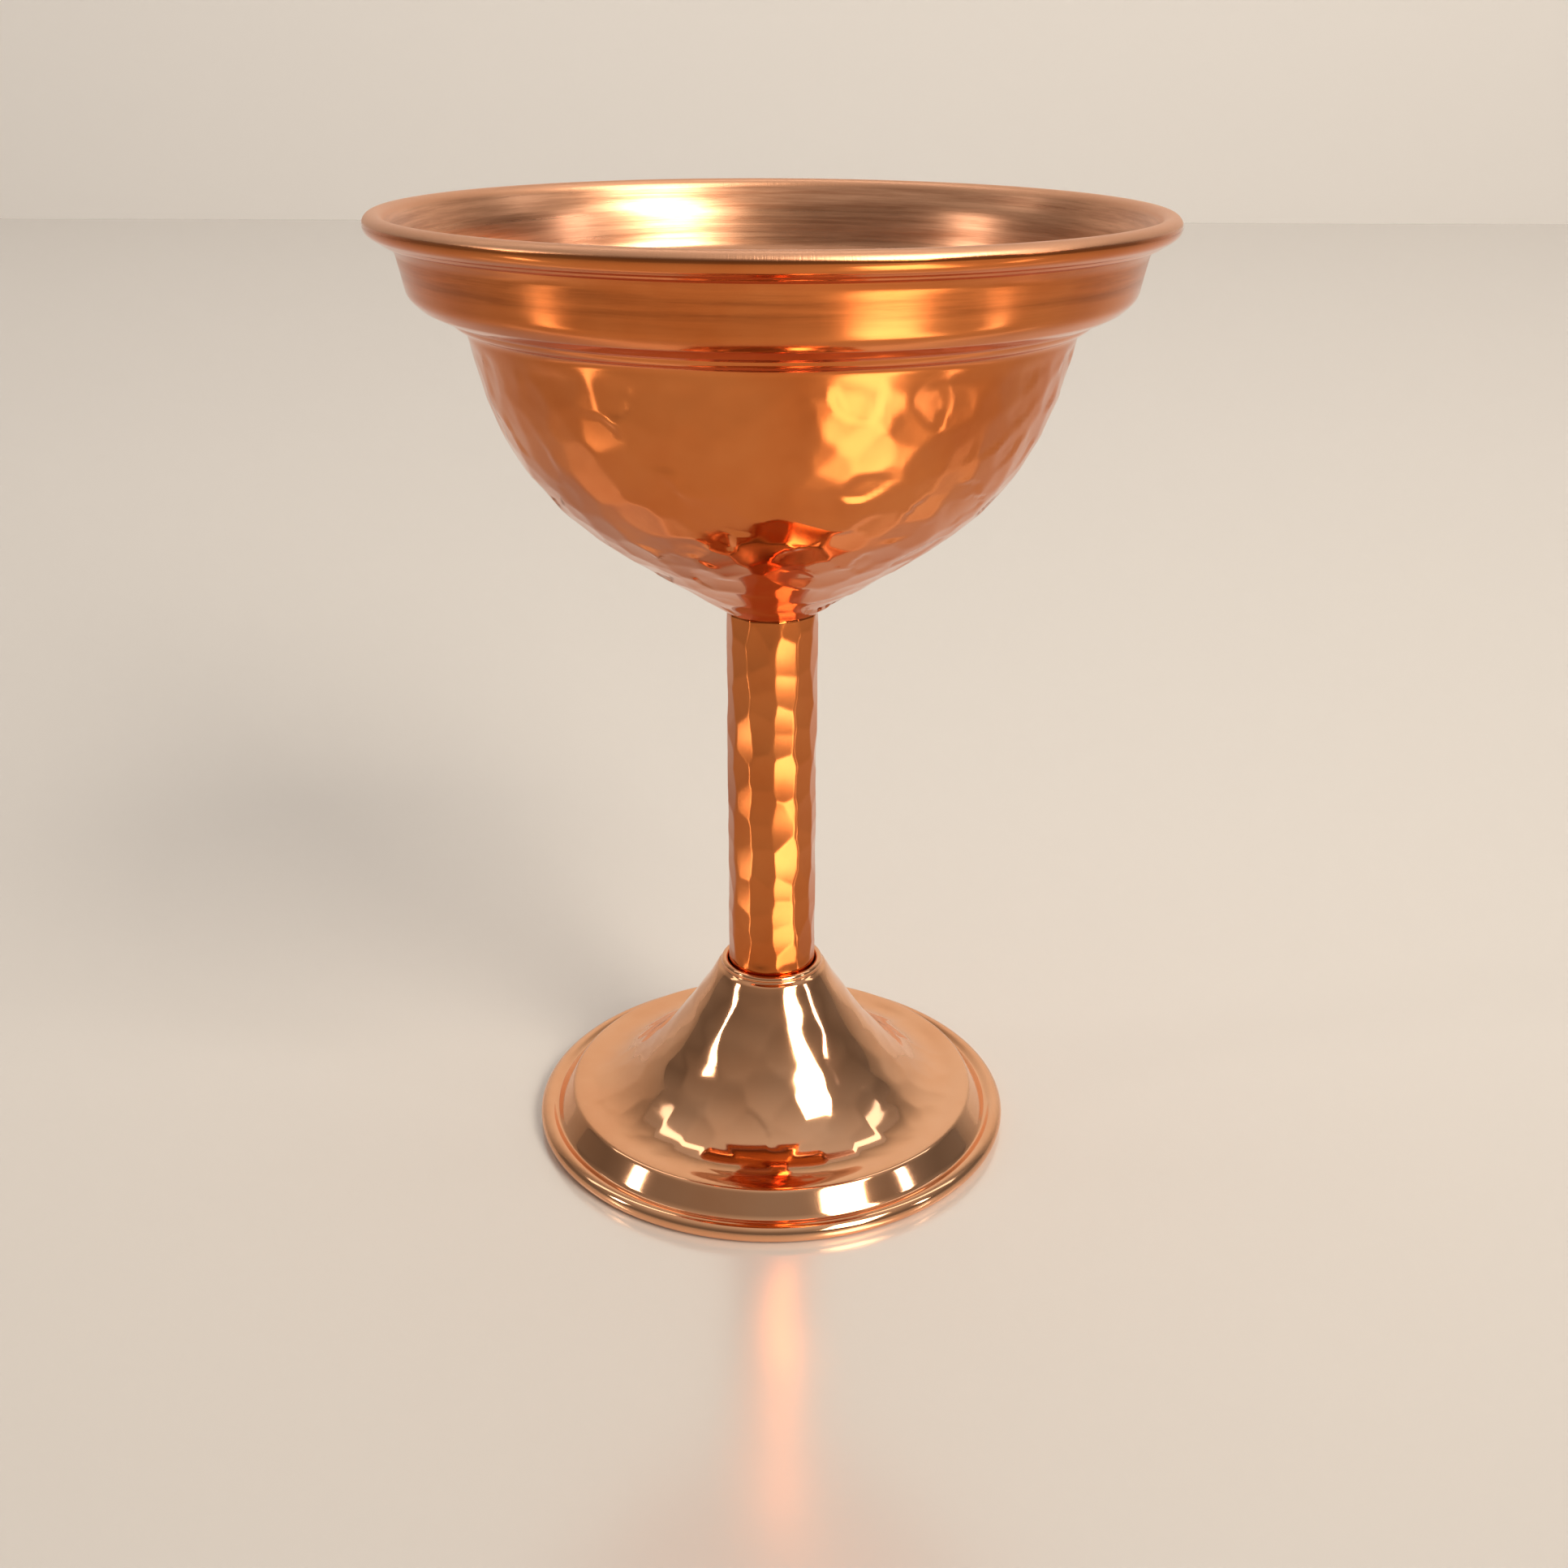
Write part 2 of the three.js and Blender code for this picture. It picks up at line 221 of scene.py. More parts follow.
def turned(name, parts, sides, zones=None):
    """A closed skin spun about Z from named runs. zones gives, for each number, its amount on each run."""
    points, names = [], []
    for run_name, run in parts.items():
        for point in run:
            if not points or math.dist(point, points[-1]) > 0.004:
                points.append(point)
                names.append(run_name)
    if math.dist(points[0], points[-1]) < 0.004:
        points.pop()
        names.pop()
    clear_selection()
    bpy.ops.mesh.primitive_circle_add(vertices=len(points), radius=MM, fill_type="NOTHING")
    piece = bpy.context.object
    piece.name = name
    places = np.zeros((len(points), 3))
    places[:, 0] = [p[0] for p in points]
    places[:, 2] = [p[1] for p in points]
    move_points(piece, places)
    for zone, amounts in (zones or {}).items():
        paint(piece, zone, [amounts.get(n, 0.0) for n in names])
    bpy.ops.object.mode_set(mode="EDIT")
    if points[0][0] < 0.001:
        bpy.ops.mesh.select_all(action="DESELECT")
        chain = bmesh.from_edit_mesh(piece.data)
        for edge in chain.edges:
            edge.select_set(all(vertex.co.x < 0.001 * MM for vertex in edge.verts))
        bmesh.update_edit_mesh(piece.data)
        bpy.ops.mesh.delete(type="EDGE_FACE")
    bpy.ops.object.mode_set(mode="OBJECT")
    bpy.ops.object.modifier_add(type="SCREW")
    screw = piece.modifiers[0]
    screw.angle, screw.screw_offset = FULL_TURN, 0
    screw.steps = screw.render_steps = sides
    bpy.ops.object.modifier_apply(modifier=screw.name)
    bpy.ops.object.mode_set(mode="EDIT")
    bpy.ops.mesh.select_all(action="SELECT")
    bpy.ops.mesh.remove_doubles(threshold=0.0005 * MM)
    bpy.ops.mesh.normals_make_consistent(inside=False)
    bpy.ops.object.mode_set(mode="OBJECT")
    bpy.ops.object.shade_smooth()
    print(f"{name}: {len(piece.data.vertices)} points, {len(piece.data.polygons)} faces")
    return piece


# %% [markdown]
# ## The bowl's section
#
# From the seat on the stem the wall rises in one hammered sweep. At the top a fine rib closes the hammered
# part, a shallow shoulder steps out from it, and two soft bends carry the sheet up into a plain collar. At
# the very top the sheet goes up, out and down again in a small roll, and the turned-in edge of the roll
# lies close against the collar, where it shows as one more fine rib.

# %% Sizes of the bowl
SHEET = 0.9
RIM_ROLL = 1.66
ROLL_HOLLOW = RIM_ROLL - SHEET
EDGE_ROUND = SHEET / 2
BOWL_FOOT_ANGLE = 33.5
BOWL_TOP_ANGLE = 79.2


def from_rim(inset, drop):
    """A point given by how far it lies in from the rim and down from the top."""
    return (rim_radius - inset, rim_top - drop)


roll_centre = from_rim(RIM_ROLL, RIM_ROLL)
collar_top = from_rim(4.62, 6.1)
collar_mid = from_rim(5.25, 9.0)
collar_bottom = from_rim(5.6, 10.8)
bend_low = from_rim(6.9, 13.1)
bend_foot = from_rim(7.62, 13.75)
shoulder_mid = from_rim(9.5, 14.55)
groove = from_rim(11.75, 15.6)
rib_foot = from_rim(14.05, 17.2)
bowl_top = from_rim(14.75, 18.5)
tail_end = from_rim(3.02, 3.92)


def bowl_sweep(steps):
    seat_edge = (tube_radius, seat_height)
    return fair(seat_edge, BOWL_FOOT_ANGLE, 0.464, bowl_top, BOWL_TOP_ANGLE, 0.439, steps)


def bowl_section():
    tail_low = (tail_end[0] + 0.2, tail_end[1] - 0.4)
    tail_bend = from_rim(1.75, 3.62)
    inside_path = joined(
        [(0, seat_height)],
        bowl_sweep(24),
        [from_rim(13.3, 16.6), from_rim(12.0, 15.65), shoulder_mid, bend_foot],
        fair(bend_foot, 42, 0.4, collar_bottom, 78, 0.4, 7),
        [collar_mid, collar_top],
    )
    inside = moved_sideways(inside_path, SHEET)[::-1]
    roll = arc(roll_centre, RIM_ROLL, -64, 155, 34)
    return {
        "seat": straight((0, seat_height), (tube_radius, seat_height), 4),
        "sweep": bowl_sweep(104),
        "rib_fillet": fair(bowl_top, 80, 0.4, rib_foot, 44, 0.4, 6),
        "rib": bulge(rib_foot, groove, 0.34, 12),
        "shoulder": bulge(groove, bend_foot, 0.1, 12),
        "bend_foot": fair(bend_foot, 40, 0.3, bend_low, 44, 0.3, 4),
        "bend": fair(bend_low, 44, 0.45, collar_bottom, 79, 0.45, 12),
        "collar": joined([collar_bottom], straight(collar_mid, collar_top, 6)),
        "cove": fair(collar_top, 74, 0.4, from_rim(3.55, 4.3), 58, 0.4, 7),
        "hollow": arc(roll_centre, ROLL_HOLLOW, 205, -62, 12),
        "tail": joined(arc(tail_end, EDGE_ROUND, 90, 295, 10), [tail_low]),
        "tail_lip": joined(bulge(tail_low, tail_bend, 0.07, 6), bulge(tail_bend, roll[0], 0.05, 4)),
        "roll": roll,
        "mouth": fair(roll[-1], -115, 0.3, inside[0], -104, 0.4, 7),
        "inside": inside,
    }


bowl_parts = bowl_section()
print("runs in the bowl's section:", ", ".join(bowl_parts))

# %% [markdown]
# ## Hammer marks
#
# A planishing hammer leaves a small, nearly flat patch wherever it lands. The smith works round in rings,
# and no two blows fall quite alike. So the blows here are laid out in rings with a little scatter, each has
# its own depth and tilt, and every point of the surface sinks to the deepest cut above it. The meeting
# lines between neighbouring marks come out by themselves, and they are rounded a trace, as buffing leaves
# them. It is real shape, so the outline of the cup wavers a little, as it should.

# %% Laying out and striking the blows
def rings_of_blows(section, spacing, drop, rng, scatter):
    """Centres of blows on a turned surface: rings a drop apart, and blows a spacing apart round each."""
    p = np.array(section)
    run = np.concatenate([[0], np.cumsum(np.linalg.norm(np.diff(p, axis=0), axis=1))])
    blows = []
    at = drop * 0.4
    while at < run[-1]:
        radius = np.interp(at, run, p[:, 0])
        height = np.interp(at, run, p[:, 1])
        count = max(5, round(FULL_TURN * radius / spacing))
        turn = rng.uniform(0, FULL_TURN)
        for k in range(count):
            angle = turn + FULL_TURN * (k + scatter * rng.normal()) / count
            lift = scatter * drop * rng.normal()
            blows.append((radius * math.cos(angle), radius * math.sin(angle), height + lift))
        at += drop * (1 + 0.08 * rng.normal())
    return np.array(blows)


def deepest(cuts, softness):
    """The largest cut at each point, never below nothing, with the meeting lines rounded a little."""
    return softness * np.log1p(np.exp(np.clip(cuts / softness, -40, 60)).sum(axis=1))


def struck(piece, centres, reach, dish, depth, tilt, rng, keep):
    """Sinks each point of the mesh to the deepest blow near it, times its keep, which runs from 0 to 1."""
    mesh = piece.data
    places = mesh_places(piece)
    outward = np.empty(len(places) * 3)
    mesh.vertices.foreach_get("normal", outward)
    outward = outward.reshape(-1, 3)
    depths = depth * (1 + 0.16 * rng.normal(size=len(centres)))
    dishes = dish * np.exp(0.2 * rng.normal(size=len(centres)))
    tilts = tilt * rng.normal(size=(len(centres), 3))
    busy = np.flatnonzero(keep > 0)
    sunk = np.zeros(len(places))
    for chunk in np.array_split(busy, max(1, len(busy) // 2000)):
        offset = places[chunk][:, None, :] - centres[None, :, :]
        near = (offset ** 2).sum(axis=2)
        cuts = depths - near / (2 * dishes) + (offset * tilts).sum(axis=2)
        cuts[near > reach ** 2] = -1
        sunk[chunk] = deepest(cuts, 0.006)
    move_points(piece, places - outward * (sunk * keep)[:, None])
    print(f"{piece.name}: {len(centres)} blows, deepest {sunk.max():.2f} mm")


def smooth_step(x, low, high):
    t = np.clip((x - low) / (high - low), 0, 1)
    return t * t * (3 - 2 * t)


# %% The bowl, spun and then hammered
BOWL_SIDES = 336
BOWL_ZONES = {
    "hammered": {"sweep": 1.0},
    "brushed": {"collar": 1.0, "cove": 0.6, "bend": 0.25, "inside": 1.0, "mouth": 1.0},
    "inside": {"inside": 1.0, "mouth": 1.0},
    "rubbed": {},
}


def make_bowl():
    rng = np.random.default_rng(11)
    bowl = turned("copper_bowl", bowl_parts, BOWL_SIDES, BOWL_ZONES)
    places = mesh_places(bowl)
    radius = np.hypot(places[:, 0], places[:, 1])
    keep = painted_values(bowl, "hammered")
    keep = keep * smooth_step(radius, tube_radius + 0.3, tube_radius + 3)
    keep = keep * (1 - smooth_step(places[:, 2], bowl_top[1] - 2.2, bowl_top[1] - 0.3))
    blows = rings_of_blows(bowl_parts["sweep"], 4.4, 4.0, rng, 0.15)
    struck(bowl, blows, reach=5.5, dish=38, depth=0.13, tilt=0.052, rng=rng, keep=keep)
    above = smooth_step(places[:, 2], roll_centre[1] + 0.3, roll_centre[1] + 0.75)
    paint(bowl, "rubbed", above * (radius > roll_centre[0] - RIM_ROLL))
    return bowl


copper_bowl = make_bowl()

# %% [markdown]
# ## The stem
#
# The stem is drawn tube, struck in upright columns as it turned on a mandrel. That leaves long flats with
# wavering edges between them. The flats are longer than they are wide, so these blows have one radius across
# and a larger one along.

# %% The stem tube
TUBE_WALL = 1.0
STEM_COLUMNS = 12
FIRST_COLUMN = math.radians(-72)
STEM_SIDES = 180


def make_stem():
    rng = np.random.default_rng(23)
    bore = tube_radius - TUBE_WALL
    parts = {
        "outside": straight((tube_radius, tube_bottom), (tube_radius, seat_height), 210),
        "bore": straight((bore, seat_height), (bore, tube_bottom), 4),
    }
    stem = turned("copper_stem", parts, STEM_SIDES, {"hammered": {"outside": 1.0}})
    places = mesh_places(stem)
    radius = np.hypot(places[:, 0], places[:, 1])
    angle = np.arctan2(places[:, 1], places[:, 0])
    cuts = []
    for column in range(STEM_COLUMNS):
        height = tube_bottom + rng.uniform(0, 5.5)
        while height < seat_height + 4:
            middle = FIRST_COLUMN + FULL_TURN * (column + 0.1 * rng.normal()) / STEM_COLUMNS
            across = np.angle(np.exp(1j * (angle - middle))) * tube_radius
            up = places[:, 2] - height
            lean = 0.045 * rng.normal() * across + 0.026 * rng.normal() * up
            depth = 0.27 * (1 + 0.14 * rng.normal())
            cut = depth - across ** 2 / (2 * 8.5) - up ** 2 / (2 * 42) + lean
            cuts.append(np.where((abs(across) < 4.5) & (abs(up) < 9), cut, -1))
            height += 5.5 + 0.6 * rng.normal()
    sunk = deepest(np.array(cuts).T, 0.01)
    shown = smooth_step(places[:, 2], neck_top + 0.2, neck_top + 2) * painted_values(stem, "hammered")
    places[:, :2] *= (1 - sunk * shown / radius)[:, None]
    move_points(stem, places)
    print(f"{len(cuts)} blows in {STEM_COLUMNS} columns")
    return stem


copper_stem = make_stem()

# %% [markdown]
# ## The foot
#
# The foot is spun from one disc: a thin rounded lip that stands clear of the tube, a long flare, a crisp
# edge, a step down and a rolled bead to stand on. It was planished lightly and then buffed bright, so its
# marks are broad and faint.

# %% Sizes of the foot
FOOT_ROLL = 1.62
FOOT_HOLLOW = FOOT_ROLL - SHEET
NECK_GAP = 0.36
FOOT_SIDES = 336

foot_roll_centre = (foot_radius - FOOT_ROLL, FOOT_ROLL)
LIP_ROUND = 0.62
LIP_GAP = 0.14
lip_centre = (tube_radius + LIP_GAP + LIP_ROUND, neck_top - LIP_ROUND)
neck_bottom = (tube_radius + NECK_GAP + SHEET + 0.9, neck_top - 1.8)
flare_edge = (foot_radius - 6.9, 6.8)
edge_end = (foot_radius - 6.1, 6.3)
crease = (foot_radius - 3.42, 2.78)


def foot_section():
    lip = arc(lip_centre, LIP_ROUND, -25, 215, 20)
    neck = fair(neck_bottom, 118, 0.4, lip[0], 60, 0.3, 6)
    flare = fair(flare_edge, 177, 0.14, neck_bottom, 121, 0.9, 72)
    edge = fair(edge_end, 128, 0.4, flare_edge, 177, 0.4, 7)
    step = straight(crease, edge_end, 6)
    roll = arc(foot_roll_centre, FOOT_ROLL, -140, 118, 34)
    crease_fillet = fair(roll[-1], 208, 0.3, crease, 128, 0.3, 6)
    hollow = arc(foot_roll_centre, FOOT_HOLLOW, 118, -140, 16)
    path = joined([crease], [edge_end, flare_edge], fair(flare_edge, 177, 0.14, neck_bottom, 121, 0.9, 36))
    inside = moved_sideways(path, SHEET)[::-1]
    return {
        "roll": roll, "crease": crease_fillet, "step": step, "edge": edge, "flare": flare, "neck": neck,
        "lip": lip, "neck_inside": [(tube_radius + NECK_GAP, neck_top - 1.0)], "inside": inside,
        "hollow": hollow,
    }


foot_parts = foot_section()

# %% The foot, spun and then planished
FOOT_ZONES = {
    "hammered": {"flare": 1.0},
    "brushed": {"inside": 0.9},
    "inside": {"inside": 1.0, "neck_inside": 1.0, "hollow": 1.0},
    "rubbed": {},
}


def make_foot():
    rng = np.random.default_rng(37)
    foot = turned("copper_foot", foot_parts, FOOT_SIDES, FOOT_ZONES)
    places = mesh_places(foot)
    radius = np.hypot(places[:, 0], places[:, 1])
    keep = painted_values(foot, "hammered")
    keep = keep * smooth_step(radius, neck_bottom[0], neck_bottom[0] + 2)
    keep = keep * (1 - smooth_step(radius, flare_edge[0] - 4, flare_edge[0] - 1))
    blows = rings_of_blows(foot_parts["flare"], 5.6, 5.6, rng, 0.18)
    struck(foot, blows, reach=8, dish=58, depth=0.1, tilt=0.024, rng=rng, keep=keep)
    return foot


copper_foot = make_foot()

# %% [markdown]
# ## The pieces inside
#
# A rod runs up the inside of the stem. Its top is screwed into a boss brazed under the bowl, and below it
# passes through a bush brazed in the foot's neck and is drawn tight by a nut on two washers. A wire fills
# each rolled edge. All of them are turned or cut from bar, so most are sections again, with their sharp
# edges taken off.

# %% Wires in the rolled edges
WIRE_SLACK = 0.24
MACHINE_SIDES = 96


def make_wire(name, centre, hollow):
    return turned(name, {"round": arc(centre, hollow - WIRE_SLACK, 0, 360, 18)}, 240)


rim_wire = make_wire("rolled_rim_wire", roll_centre, ROLL_HOLLOW)
foot_wire = make_wire("rolled_foot_wire", foot_roll_centre, FOOT_HOLLOW)

# %% [markdown]
# The boss, the bush and the flat washer come off a lathe, so every corner of their sections is cut back by
# a small flat. One helper does that to any section of plain corners.

# %% Boss, bush and flat washer
def edges_off(corners, cut):
    """The closed section with each corner replaced by a flat that starts this far from it."""
    points = []
    for i, corner in enumerate(corners):
        here = np.array(corner)
        for other in (corners[i - 1], corners[(i + 1) % len(corners)]):
            way = np.array(other) - here
            points.append(tuple(here + way * min(cut / np.linalg.norm(way), 0.4)))
    return points


def heights_and_radius(name):
    """Lowest height, highest height and widest radius of a design piece, in millimetres."""
    low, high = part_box(name)
    return low.z / MM, high.z / MM, high.x / MM


rod_low, rod_high, rod_radius = heights_and_radius("tie_rod")
boss_low, boss_high, boss_radius = heights_and_radius("bowl_boss")
bush_low, bush_high, _ = heights_and_radius("foot_bush")
washer_low, washer_high, washer_radius = heights_and_radius("flat_washer")
passage = rod_radius + 0.4
tapped = rod_radius + 0.1

boss = turned("brazed_boss", {"skin": [
    (0, boss_high - 2), (tapped, boss_high - 2.1), (tapped, boss_low + 0.6), (tapped + 0.6, boss_low),
    (boss_radius - 0.8, boss_low), (boss_radius, boss_low + 0.8), (boss_radius, boss_high - 0.2),
    (boss_radius - 0.2, boss_high), (0, boss_high),
]}, MACHINE_SIDES)
flat_washer = turned("plain_washer", {"skin": edges_off([
    (passage, washer_low), (washer_radius, washer_low), (washer_radius, washer_high), (passage, washer_high),
], 0.22)}, MACHINE_SIDES)


FLANGE_HEIGHT = 5.2
SPIGOT_WALL = 1.06
TUBE_PLAY = 0.15
BRAZE_GAP = 0.14


def make_bush():
    flange_low = bush_high - FLANGE_HEIGHT
    spigot = tube_radius + SPIGOT_WALL
    counterbore = tube_radius + TUBE_PLAY
    skin = moved_sideways(foot_parts["flare"], SHEET + BRAZE_GAP)
    flange = [p for p in skin if flange_low + 0.1 < p[1] < bush_high - 0.1]
    return turned("brazed_bush", {
        "spigot": [
            (passage, bush_low + 0.3), (passage + 0.3, bush_low), (spigot - 0.3, bush_low),
            (spigot, bush_low + 0.3), (spigot, flange_low),
        ],
        "flange": [(flange[0][0] - 0.25, flange_low), *flange],
        "bore": [
            (counterbore + 0.15, bush_high), (counterbore, bush_high - 0.15), (counterbore, tube_bottom),
            (passage, tube_bottom),
        ],
    }, MACHINE_SIDES)


bush = make_bush()

# %% [markdown]
# A thread is one tooth carried round and up: the Screw modifier again, this time with a rise of one pitch
# for each turn. The ends are cut square with bisect, which also fills them, and then every point near an
# end is drawn in under a cone, as a die or a file leaves it.

# %% The threaded rod
PITCH = 1.0
TOOTH = 0.54
THREAD_SIDES = 28


def make_rod():
    root = rod_radius - TOOTH
    tooth = [(root, 0), (root, 0.12), (rod_radius, 0.44), (rod_radius, 0.56), (root, 0.88), (root, 1.0)]
    turns = math.ceil((rod_high - rod_low) / PITCH) + 3
    clear_selection()
    bpy.ops.mesh.primitive_circle_add(vertices=len(tooth), radius=MM, fill_type="NOTHING")
    rod = bpy.context.object
    rod.name = "threaded_rod"
    move_points(rod, np.array([(r, 0, rod_low - 1.5 * PITCH + PITCH * z) for r, z in tooth]))
    bpy.ops.object.mode_set(mode="EDIT")
    bpy.ops.mesh.select_all(action="DESELECT")
    chain = bmesh.from_edit_mesh(rod.data)
    for edge in chain.edges:
        edge.select_set(abs(edge.verts[0].co.z - edge.verts[1].co.z) > 0.9 * PITCH * MM)
    bmesh.update_edit_mesh(rod.data)
    bpy.ops.mesh.delete(type="EDGE_FACE")
    bpy.ops.object.mode_set(mode="OBJECT")
    bpy.ops.object.modifier_add(type="SCREW")
    screw = rod.modifiers[0]
    screw.angle, screw.screw_offset, screw.iterations = FULL_TURN, PITCH * MM, turns
    screw.steps = screw.render_steps = THREAD_SIDES
    bpy.ops.object.modifier_apply(modifier=screw.name)
    bpy.ops.object.mode_set(mode="EDIT")
    bpy.ops.mesh.select_all(action="SELECT")
    bpy.ops.mesh.remove_doubles(threshold=0.001 * MM)
    for height, way in ((rod_low, -1), (rod_high, 1)):
        bpy.ops.mesh.select_all(action="SELECT")
        bpy.ops.mesh.bisect(
            plane_co=(0, 0, height * MM), plane_no=(0, 0, way), use_fill=True, clear_outer=True,
            threshold=0.0001 * MM,
        )
    bpy.ops.mesh.select_all(action="SELECT")
    bpy.ops.mesh.normals_make_consistent(inside=False)
    bpy.ops.object.mode_set(mode="OBJECT")
    places = mesh_places(rod)
    radius = np.hypot(places[:, 0], places[:, 1])
    from_end = np.minimum(places[:, 2] - rod_low, rod_high - places[:, 2])
    limit = np.minimum(radius, root - 0.1 + np.maximum(from_end, 0))
    places[:, :2] *= (limit / radius)[:, None]
    move_points(rod, places)
    bpy.ops.object.shade_smooth_by_angle(angle=math.radians(20))
    print(f"rod: {turns} turns of thread, {len(rod.data.polygons)} faces")
    return rod


rod = make_rod()

# %% [markdown]
# The nut is a hexagonal bar with both ends turned off to a cone, which leaves the curved edges seen on
# every real nut. Cutting the bar by a turned shape with a Boolean modifier gives exactly that.

# %% The nut
CONE_SLOPE = 0.58


def make_nut():
    low, high, corner = heights_and_radius("hex_nut")
    across_flats = corner * math.sqrt(3)
    face = across_flats / 2 - 0.1
    outside = corner + 0.2
    fall = (outside - face) * CONE_SLOPE
    cutter = turned("nut_cutter", {"skin": [
        (tapped, low + 0.5), (tapped + 0.5, low), (face, low), (outside, low + fall),
        (outside, high - fall), (face, high), (tapped + 0.5, high), (tapped, high - 0.5),
    ]}, 144)
    clear_selection()
    middle = (low + high) / 2 * MM
    bpy.ops.mesh.primitive_cylinder_add(
        vertices=6, radius=corner * MM, depth=(high - low) * MM, location=(0, 0, middle),
        rotation=(0, 0, math.radians(30)),
    )
    nut = bpy.context.object
    nut.name = "hexagon_nut"
    bpy.ops.object.transform_apply(location=True, rotation=True, scale=True)
    bpy.ops.object.modifier_add(type="BOOLEAN")
    cut = nut.modifiers[0]
    cut.operation, cut.object, cut.solver = "INTERSECT", cutter, "EXACT"
    bpy.ops.object.modifier_apply(modifier=cut.name)
    bpy.data.objects.remove(cutter)
    bpy.ops.object.shade_smooth_by_angle(angle=math.radians(24))
    print(f"nut: {across_flats:.1f} mm across flats, {len(nut.data.polygons)} faces")
    return nut


nut = make_nut()

# %% [markdown]
# The spring washer is a ring that has been cut through. Here its section is carried round by less than a
# full turn, and the two open ends are filled.

# %% The spring washer
SLIT_START, SLIT_END = 1.0, 9.0
WASHER_SIDES = 90


def make_spring_washer():
    low, high, radius = heights_and_radius("spring_washer")
    clear_selection()
    section = edges_off([(passage, low), (radius, low), (radius, high), (passage, high)], 0.18)
    bpy.ops.mesh.primitive_circle_add(vertices=len(section), radius=MM, fill_type="NOTHING")
    washer = bpy.context.object
    washer.name = "split_washer"
    move_points(washer, np.array([(r, 0, z) for r, z in section]))
    bpy.ops.object.modifier_add(type="SCREW")
    screw = washer.modifiers[0]
    screw.angle, screw.screw_offset = math.radians(360 - SLIT_END + SLIT_START), 0
    screw.steps = screw.render_steps = WASHER_SIDES
    bpy.ops.object.modifier_apply(modifier=screw.name)
    bpy.ops.object.mode_set(mode="EDIT")
    bpy.ops.mesh.select_all(action="SELECT")
    bpy.ops.mesh.fill_holes(sides=0)
    bpy.ops.mesh.select_all(action="SELECT")
    bpy.ops.mesh.normals_make_consistent(inside=False)
    bpy.ops.object.mode_set(mode="OBJECT")
    places = mesh_places(washer)
    turn = math.radians(SLIT_END)
    x, y = places[:, 0].copy(), places[:, 1].copy()
    places[:, 0] = x * math.cos(turn) - y * math.sin(turn)
    places[:, 1] = x * math.sin(turn) + y * math.cos(turn)
    move_points(washer, places)
    bpy.ops.object.shade_smooth_by_angle(angle=math.radians(24))
    print("spring washer:", len(washer.data.polygons), "faces")
    return washer


spring_washer = make_spring_washer()

# %% [markdown]
# The three lathe-turned pieces keep their corners sharp, and only their round faces are smoothed.

# %% Sharp corners on the turned pieces
for piece in (boss, bush, flat_washer):
    clear_selection()
    piece.select_set(True)
    bpy.context.view_layer.objects.active = piece
    bpy.ops.object.shade_smooth_by_angle(angle=math.radians(24))

# %% [markdown]
# ## Materials
#
# A material here is arithmetic on sockets. One small class lets a socket take part in ordinary Python
# expressions, and one method adds any other node.

# %% Shader arithmetic
class Field:
    """A socket in a material that takes part in ordinary arithmetic."""

    def __init__(self, tree, socket):
        self.tree = tree
        self.socket = socket

    def worked(self, operation, *values):
        node = self.tree.nodes.new("ShaderNodeMath")
        node.operation = operation
        for slot, value in zip(node.inputs, values):
            if isinstance(value, Field):
                self.tree.links.new(value.socket, slot)
            else:
                slot.default_value = value
        return Field(self.tree, node.outputs[0])

    def __add__(self, other):
        return self.worked("ADD", self, other)

    __radd__ = __add__

    def __mul__(self, other):
        return self.worked("MULTIPLY", self, other)

    __rmul__ = __mul__


class Finish:
    """A material under construction: one Principled surface and the nodes that feed it."""

    def __init__(self, name, **constants):
        self.material = bpy.data.materials.new(name)
        self.material.use_nodes = True
        self.tree = self.material.node_tree
        self.surface = self.tree.nodes["Principled BSDF"]
        for socket, value in constants.items():
            self.surface.inputs[socket.replace("_", " ")].default_value = value

    def node(self, kind, settings=None, output=0, **inputs):
        """Adds any node: its type, its settings, then the values or links of its sockets."""
        node = self.tree.nodes.new(kind)
        for key, value in (settings or {}).items():
            if key == "stops":
                while len(node.color_ramp.elements) < len(value):
                    node.color_ramp.elements.new(0.5)
                for element, (position, colour) in zip(node.color_ramp.elements, value):
                    element.position, element.color = position, (*colour, 1)
            else:
                setattr(node, key, value)
        for key, value in inputs.items():
            slot = node.inputs[int(key[1:])] if key[1:].isdigit() else node.inputs[key.replace("_", " ")]
            if isinstance(value, Field):
                self.tree.links.new(value.socket, slot)
            else:
                slot.default_value = value
        return Field(self.tree, node.outputs[output])

    def place(self):
        return self.node("ShaderNodeTexCoord", output=3)

    def stretched(self, place, x, y, z):
        return self.node("ShaderNodeVectorMath", {"operation": "MULTIPLY"}, _0=place, _1=(x, y, z))

    def noise(self, place, scale, detail=3.0, roughness=0.5):
        return self.node("ShaderNodeTexNoise", Vector=place, Scale=scale, Detail=detail, Roughness=roughness)

    def ramp(self, factor, *stops):
        return self.node("ShaderNodeValToRGB", {"stops": stops}, Fac=factor)

    def blend(self, factor, first, second):
        """Mixes two colours."""
        first, second = ((*c, 1) if isinstance(c, tuple) else c for c in (first, second))
        return self.node("ShaderNodeMix", {"data_type": "RGBA"}, output=2, _0=factor, _6=first, _7=second)

    def painted(self, name):
        return self.node("ShaderNodeAttribute", {"attribute_name": name}, output=2)

    def axes(self, place):
        split = self.node("ShaderNodeSeparateXYZ", Vector=place).socket.node
        return [Field(self.tree, split.outputs[i]) for i in range(3)]

    def finished(self, **links):
        for key, value in links.items():
            self.tree.links.new(value.socket, self.surface.inputs[key.replace("_", " ")])
        return self.material


